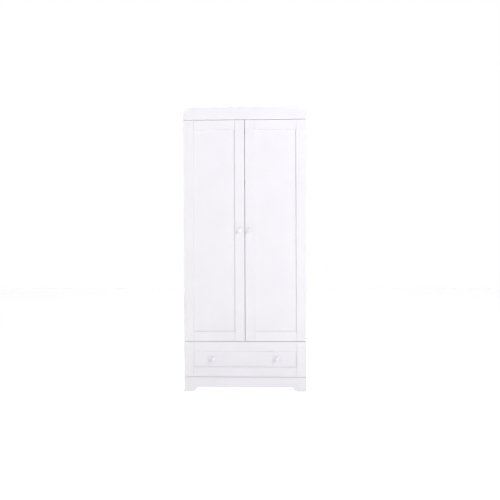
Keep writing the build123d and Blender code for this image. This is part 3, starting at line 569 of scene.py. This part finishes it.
class Finishes:
    """Every finish of the wardrobe, each made once."""

    def __init__(self) -> None:
        """Makes the materials."""
        zinc = ((0.70, 0.71, 0.73), (0.52, 0.53, 0.55))
        nickel = ((0.72, 0.69, 0.64), (0.58, 0.55, 0.50))
        self.paint = SprayedPaint().make()
        self.knob_paint = SprayedPaint("knob_paint", sheen=Sheen.GLOSS, cloud=0.02, depth=0.00001).make()
        self.melamine = Melamine().make()
        self.back = Hardboard("back_hardboard", show=(0.0, -1.0, 0.0)).make()
        self.drawer_bottom = Hardboard("drawer_bottom_hardboard", show=(0.0, 0.0, 1.0)).make()
        self.beech = Beech().make()
        self.zinc = PlatedSteel("zinc_plate", *zinc).make()
        self.nickel = PlatedSteel("nickel_plate", *nickel).make()
        self.chrome = PlatedSteel("chrome_plate", (0.86, 0.87, 0.89), (0.80, 0.81, 0.83),
                                  Sheen.POLISHED, Grain.ALONG_X, cloud=0.05).make()
        self.enamel = EnamelledSteel().make()
        self.plastic = MouldedPlastic("white_plastic", (0.80, 0.80, 0.79)).make()
        self.nylon = MouldedPlastic("natural_nylon", (0.70, 0.69, 0.66), Sheen.SATIN).make()
        self.rubber = ClearRubber().make()


# ---------------------------------------------------------------- making pieces
def cover(material: bpy.types.Material, nodes: Iterable[str]) -> None:
    """Puts one finish on several frame nodes.

    Args:
        material: the finish.
        nodes: names of the nodes.
    """
    for name in nodes:
        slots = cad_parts[name].data.materials
        slots.clear()
        slots.append(material)
        log.info("dressed %s in %s", name, material.name)


def add_piece(
    name: str, mesh: bmesh.types.BMesh, body: str, material: bpy.types.Material
) -> bpy.types.Object:
    """Turns a finished bmesh into a piece that rides on a body.

    Args:
        name: the piece's name.
        mesh: its shape, in place; it is freed here.
        body: the body that it moves with.
        material: its finish.

    Returns:
        The new object.
    """
    bmesh.ops.recalc_face_normals(mesh, faces=mesh.faces)
    data = bpy.data.meshes.new(name)
    mesh.to_mesh(data)
    mesh.free()
    data.materials.append(material)
    piece = bpy.data.objects.new(name, data)
    bpy.context.scene.collection.objects.link(piece)
    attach(piece, body)
    log.info("built %s on %s: %d faces", name, body, len(data.polygons))
    return piece


def arc(centre: Sequence[float], radius: float, start: float, end: float, steps: int) -> list[Vector]:
    """Points along an arc in the plane of radius and height.

    Args:
        centre: the arc's centre, as radius and height.
        radius: the arc's own radius.
        start: first angle, in radians from the outward direction.
        end: last angle.
        steps: how many stretches it is cut into.

    Returns:
        The points, both ends included.
    """
    turns = [start + (end - start) * i / steps for i in range(steps + 1)]
    return [Vector((centre[0] + radius * math.cos(t), 0.0, centre[1] + radius * math.sin(t)))
            for t in turns]


@dataclass
class TurnedKnob:
    """A lathe-turned knob on an axis along Y, drawn as rings about it.

    The profile runs from the domed head's pole, round its edge and under it, down the waist to the
    flared foot. The foot stands on a face and the head points towards -Y.
    """

    radius: float
    projection: float
    edge_radius: float = 4.0 * MM
    edge_height: float = 19.5 * MM
    neck_radius: float = 5.5 * MM
    foot_radius: float = 8.0 * MM
    foot_height: float = 1.6 * MM
    rings: int = 72
    dome_steps: int = 10
    edge_steps: int = 14
    waist_steps: int = 8
    merge_reach: float = 0.01 * MM

    def profile(self) -> list[Vector]:
        """The knob's outline, as radius in x and height in z.

        Returns:
            Points from the pole of the head to the middle of the foot.
        """
        edge_x = self.radius - self.edge_radius
        drop = self.projection - self.edge_height
        dome = (edge_x ** 2 + drop ** 2 - self.edge_radius ** 2) / (2 * (drop - self.edge_radius))
        lean = math.asin(edge_x / (dome - self.edge_radius))
        quarter = math.pi / 2
        throat = edge_x - self.neck_radius
        under = self.edge_height - self.edge_radius
        fall = under - throat - self.foot_height
        flare = self.foot_radius - self.neck_radius
        waist = (flare ** 2 + fall ** 2) / (2 * flare)
        sweep = math.asin(fall / waist)
        points = arc((0.0, self.projection - dome), dome, quarter, quarter - lean, self.dome_steps)
        points += arc((edge_x, self.edge_height), self.edge_radius, quarter - lean, -quarter,
                      self.edge_steps)[1:]
        points += arc((edge_x, under - throat), throat, quarter, math.pi, self.waist_steps)[1:]
        points += arc((self.neck_radius + waist, under - throat), waist, math.pi,
                      math.pi + sweep, self.waist_steps)[1:]
        points += [Vector((self.foot_radius, 0.0, 0.0)), Vector((0.0, 0.0, 0.0))]
        return points

    def turn(self, mesh: bmesh.types.BMesh, seat: Vector) -> None:
        """Spins the knob into a bmesh.

        Args:
            mesh: the bmesh that it is added to.
            seat: the middle of its foot.
        """
        others = set(mesh.verts)
        outline = [mesh.verts.new(point) for point in self.profile()]
        stretches = [mesh.edges.new(pair) for pair in zip(outline, outline[1:])]
        bmesh.ops.spin(
            mesh, geom=outline + stretches, cent=(0.0, 0.0, 0.0), axis=(0.0, 0.0, 1.0),
            dvec=(0.0, 0.0, 0.0), angle=2 * math.pi, steps=self.rings, use_merge=True,
            use_normal_flip=False, use_duplicate=False)
        turned = [vert for vert in mesh.verts if vert not in others]
        upright = Matrix.Translation(seat) @ Matrix.Rotation(math.pi / 2, 4, "X")
        bmesh.ops.transform(mesh, matrix=upright, verts=turned)
        bmesh.ops.remove_doubles(mesh, verts=turned, dist=self.merge_reach)


def smooth(mesh: bmesh.types.BMesh, crease: float = math.radians(50.0)) -> None:
    """Shades a bmesh smoothly, apart from edges that turn more sharply than a crease."""
    for face in mesh.faces:
        face.smooth = True
    for edge in mesh.edges:
        edge.smooth = len(edge.link_faces) != 2 or edge.calc_face_angle(0.0) < crease


def domed_disc(
    mesh: bmesh.types.BMesh,
    seat: Vector,
    towards: Vector,
    radius: float,
    height: float,
    sides: int,
    rounding: float = 0.7,
) -> None:
    """Adds a low button: a disc whose rim is rounded over.

    Args:
        mesh: the bmesh that it is added to.
        seat: the middle of its flat face.
        towards: the direction that it stands off in.
        radius: its outer radius.
        height: how far it stands off.
        sides: how many sides its circle has.
        rounding: the rim's rounding, as a share of the height.
    """
    turned = towards.to_track_quat("Z", "Y").to_matrix().to_4x4()
    place = Matrix.Translation(seat + towards * height / 2) @ turned
    made = bmesh.ops.create_cone(mesh, cap_ends=True, cap_tris=False, segments=sides, radius1=radius,
                                 radius2=radius, depth=height, matrix=place)
    top = [v for v in made["verts"] if (v.co - seat).dot(towards) > height / 2]
    rim = list({e for v in top for e in v.link_edges if e.other_vert(v) in top})
    bmesh.ops.bevel(mesh, geom=rim, offset=height * rounding, affect="EDGES", segments=3,
                    profile=0.5, material=-1)


def turned_knobs(
    name: str, node: str, body: str, count: int, material: bpy.types.Material
) -> bpy.types.Object:
    """Turns finely rounded knobs in place of a frame node that holds them more plainly.

    Args:
        name: the new piece's name.
        node: the frame node, which gives the knobs' size and place.
        body: the body that they move with.
        count: how many knobs the node holds, side by side.
        material: their finish.

    Returns:
        The knobs, as one piece.
    """
    low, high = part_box(node)
    radius = (high.z - low.z) / 2
    knob = TurnedKnob(radius=radius, projection=high.y - low.y)
    ends = (low.x + radius, high.x - radius) if count > 1 else ((low.x + high.x) / 2,)
    mesh = bmesh.new()
    for x in ends:
        knob.turn(mesh, Vector((x, high.y, (low.z + high.z) / 2)))
    smooth(mesh)
    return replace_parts(add_piece(name, mesh, body, material), node)


# ---------------------------------------------------------------- sub-assemblies
@dataclass
class Carcass:
    """Boards, back, feet and brackets of the body that stands still."""

    finishes: Finishes
    nail_radius: float = 2.2 * MM
    nail_height: float = 0.7 * MM
    nail_sides: int = 12
    nail_count: int = 6
    nail_edge: float = 34.0 * MM
    cap_radius: float = 8.6 * MM
    cap_height: float = 1.1 * MM
    cap_sides: int = 32
    cap_from_side: float = 34.0 * MM
    cam_radius: float = 7.45 * MM

    def build(self) -> None:
        """Makes the nails of the back boards and the cover caps of the upper cam locks."""
        self.back_nails()
        self.cover_caps()

    def back_nails(self) -> bpy.types.Object:
        """Rows of small round nail heads that fix the back boards to the fixed boards.

        Returns:
            All the nail heads, as one piece.
        """
        mesh = bmesh.new()
        for board in ("back_board_left", "back_board_right"):
            low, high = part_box(board)
            first, last = low.x + self.nail_edge, high.x - self.nail_edge
            for shelf in ("middle_panel", "base_panel"):
                bottom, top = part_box(shelf)
                for i in range(self.nail_count):
                    x = first + (last - first) * i / (self.nail_count - 1)
                    seat = Vector((x, high.y, (bottom.z + top.z) / 2))
                    domed_disc(mesh, seat, Vector((0, 1, 0)), self.nail_radius, self.nail_height,
                               self.nail_sides)
        smooth(mesh)
        return add_piece("back_board_nails", mesh, "carcass", self.finishes.zinc)

    def cover_caps(self) -> bpy.types.Object:
        """White caps pressed over the cam locks under the top panel.

        Returns:
            The caps, as one piece.
        """
        low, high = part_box("top_panel")
        cam_low, cam_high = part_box("cam_fittings")
        mesh = bmesh.new()
        for x in (low.x + self.cap_from_side, high.x - self.cap_from_side):
            for y in (cam_low.y + self.cam_radius, cam_high.y - self.cam_radius):
                domed_disc(mesh, Vector((x, y, low.z)), Vector((0, 0, -1)), self.cap_radius,
                           self.cap_height, self.cap_sides)
        smooth(mesh)
        return add_piece("cam_cover_caps", mesh, "carcass", self.finishes.plastic)

    def dress(self) -> None:
        """Puts the finishes on the carcass."""
        looks = self.finishes
        cover(looks.paint, ("left_side_panel", "right_side_panel", "top_panel", "cornice_board",
                            "plinth_board"))
        cover(looks.melamine, ("middle_panel", "base_panel", "top_front_rail", "rear_plinth_rail"))
        cover(looks.back, ("back_board_left", "back_board_right"))
        cover(looks.plastic, ("back_joining_strip", "foot_glides"))
        cover(looks.beech, ("plinth_blocks", "dowels"))
        cover(looks.zinc, ("cam_fittings", "carcass_screws", "wall_brackets"))
        cover(looks.rubber, ("door_bumpers",))


@dataclass
class Interior:
    """Hat shelf, its pins, and the hanging rail in its sockets."""

    finishes: Finishes

    def dress(self) -> None:
        """Puts the finishes on the shelf and the rail."""
        looks = self.finishes
        cover(looks.melamine, ("hat_shelf",))
        cover(looks.zinc, ("shelf_pins",))
        cover(looks.chrome, ("hanging_rail",))
        cover(looks.plastic, ("rail_sockets",))


@dataclass
class Door:
    """One framed door with its knob and hinge cups."""

    side: Side
    finishes: Finishes
    members: tuple[str, ...] = ("hinge_stile", "knob_stile", "top_rail", "bottom_rail", "panel")

    def build(self) -> bpy.types.Object:
        """Turns the door's knob in place of the frame's plainer one.

        Returns:
            The knob.
        """
        name = self.side.value
        return turned_knobs(f"{name}_turned_knob", f"{name}_door_knob", f"{name}_door", 1,
                            self.finishes.knob_paint)

    def dress(self) -> None:
        """Puts the finishes on the door."""
        name = self.side.value
        cover(self.finishes.paint, [f"{name}_door_{member}" for member in self.members])
        cover(self.finishes.knob_paint, (f"{name}_door_knob",))
        cover(self.finishes.zinc, (f"{name}_door_screws",))
        cover(self.finishes.nickel, (f"{name}_hinge_cups",))


@dataclass
class Hinges:
    """Mounting plates, arms, pins and links of every cup hinge."""

    finishes: Finishes

    def dress(self) -> None:
        """Puts nickel plate on the hinges."""
        cover(self.finishes.nickel, ("hinge_plates", "hinge_arms", "hinge_pins", "hinge_screws",
                                     "left_hinge_links", "right_hinge_links"))


@dataclass
class Drawer:
    """The drawer's front, box, knobs and runners."""

    finishes: Finishes
    members: tuple[str, ...] = ("left_stile", "right_stile", "top_rail", "bottom_rail", "panel")

    def build(self) -> bpy.types.Object:
        """Turns the drawer's two knobs in place of the frame's plainer ones.

        Returns:
            Both knobs, as one piece.
        """
        return turned_knobs("drawer_turned_knobs", "drawer_knobs", "drawer", 2,
                            self.finishes.knob_paint)

    def dress(self) -> None:
        """Puts the finishes on the drawer."""
        looks = self.finishes
        cover(looks.paint, [f"drawer_front_{member}" for member in self.members])
        cover(looks.knob_paint, ("drawer_knobs",))
        cover(looks.melamine, ("drawer_side_left", "drawer_side_right", "drawer_back"))
        cover(looks.drawer_bottom, ("drawer_bottom",))
        cover(looks.zinc, ("drawer_fixings",))
        cover(looks.enamel, ("drawer_runners", "cabinet_runners"))
        cover(looks.nylon, ("drawer_rollers", "cabinet_rollers"))


# ---------------------------------------------------------------- studio
class Throw(Enum):
    """How a studio light throws: from a panel of some size, or evenly from far off."""

    PANEL = "AREA"
    FAR = "SUN"


@dataclass(frozen=True)
class SoftLight:
    """One soft studio light.

    Spread is a panel's width in metres, or the angle in radians that a far light fills. Power is
    in watts for a panel, and in watts for each square metre for a far light.
    """

    name: str
    place: tuple[float, float, float]
    spread: float
    power: float
    tint: Colour = (1.0, 1.0, 1.0)
    throw: Throw = Throw.PANEL

    def hang(self, target: Vector) -> bpy.types.Object:
        """Hangs the light and aims it.

        Args:
            target: the point that it looks at.

        Returns:
            The light.
        """
        lamp = bpy.data.lights.new(self.name, self.throw.value)
        if self.throw is Throw.PANEL:
            lamp.size = self.spread
        else:
            lamp.angle = self.spread
        lamp.energy = self.power
        lamp.color = self.tint
        light = bpy.data.objects.new(self.name, lamp)
        light.location = self.place
        light.rotation_euler = (target - light.location).to_track_quat("-Z", "Y").to_euler()
        bpy.context.scene.collection.objects.link(light)
        return light


@dataclass
class Studio:
    """Pale floor, even white surroundings, soft lights and the camera.

    Distance is from the camera to the foremost point of the wardrobe, the camera's place and height
    are from the middle of its foot, the angles are in degrees and the lens is in millimetres.
    """

    floor_half: float = 12.0
    surround: Colour = (1.0, 1.0, 1.0)
    surround_strength: float = 0.05
    lights: tuple[SoftLight, ...] = (
        SoftLight("main_light", (3.6, -3.7, 3.4), 0.4, 158.0, tint=(1.0, 0.98, 1.04)),
        SoftLight("fill_light", (-3.3, -3.9, 3.6), 0.5, 72.0, tint=(1.0, 0.98, 1.04)),
        SoftLight("overhead_light", (0.0, 0.0, 6.0), 0.6, 0.4, throw=Throw.FAR),
        SoftLight("backdrop_light", (0.0, 6.0, 6.0), 0.6, 2.2, throw=Throw.FAR),
    )
    distance: float = 3.973
    camera_aside: float = 0.156
    camera_height: float = 0.906
    azimuth: float = 1.75
    elevation: float = -0.43
    roll: float = -0.166
    lens: float = 43.6

    def build(self) -> None:
        """Makes the floor, the surroundings, the lights and the camera."""
        low, high = CAD_BOX
        self.floor()
        self.surroundings()
        for light in self.lights:
            light.hang((low + high) / 2)
        self.camera()

    def floor(self) -> None:
        """Lays the floor just under the feet."""
        mesh = bmesh.new()
        bmesh.ops.create_grid(mesh, x_segments=2, y_segments=2, size=self.floor_half)
        data = bpy.data.meshes.new("studio_floor")
        mesh.to_mesh(data)
        mesh.free()
        data.materials.append(StudioFloor().make())
        floor = bpy.data.objects.new("studio_floor", data)
        floor.location.z = CAD_BOX[0].z
        bpy.context.scene.collection.objects.link(floor)

    def surroundings(self) -> None:
        """Fills the world with even light, and shows it plain white behind the wardrobe."""
        world = bpy.data.worlds.new("white_surround")
        world.use_nodes = True
        tree = world.node_tree
        seen = tree.nodes.new("ShaderNodeLightPath").outputs["Is Camera Ray"]
        strength = tree.nodes.new("ShaderNodeMapRange")
        strength.inputs["To Min"].default_value = self.surround_strength
        strength.inputs["To Max"].default_value = 1.0
        tree.links.new(seen, strength.inputs["Value"])
        background = tree.nodes["Background"]
        background.inputs["Color"].default_value = rgba(self.surround)
        tree.links.new(strength.outputs["Result"], background.inputs["Strength"])
        bpy.context.scene.world = world

    def camera(self) -> None:
        """Stands the camera in front of the wardrobe, a little to its right."""
        low, high = CAD_BOX
        data = bpy.data.cameras.new("camera")
        data.lens = self.lens
        camera = bpy.data.objects.new("camera", data)
        turn, tilt, roll = (math.radians(a) for a in (self.azimuth, self.elevation, self.roll))
        level = Matrix.Rotation(turn, 4, "Z") @ Matrix.Rotation(math.pi / 2 - tilt, 4, "X")
        place = Vector(((low.x + high.x) / 2 + self.camera_aside, low.y - self.distance,
                        low.z + self.camera_height))
        camera.matrix_world = Matrix.Translation(place) @ level @ Matrix.Rotation(roll, 4, "Z")
        bpy.context.scene.collection.objects.link(camera)
        bpy.context.scene.camera = camera


def main() -> None:
    """Builds and dresses the wardrobe, then sets up the studio."""
    logging.basicConfig(level=logging.INFO, format="%(name)s: %(message)s")
    finishes = Finishes()
    carcass = Carcass(finishes)
    drawer = Drawer(finishes)
    doors = [Door(side, finishes) for side in Side]
    for part in (carcass, *doors, drawer):
        part.build()
    for part in (carcass, Interior(finishes), *doors, Hinges(finishes), drawer):
        part.dress()
    Studio().build()
    bpy.context.scene.view_settings.view_transform = "Standard"


if __name__ == "__main__":
    main()
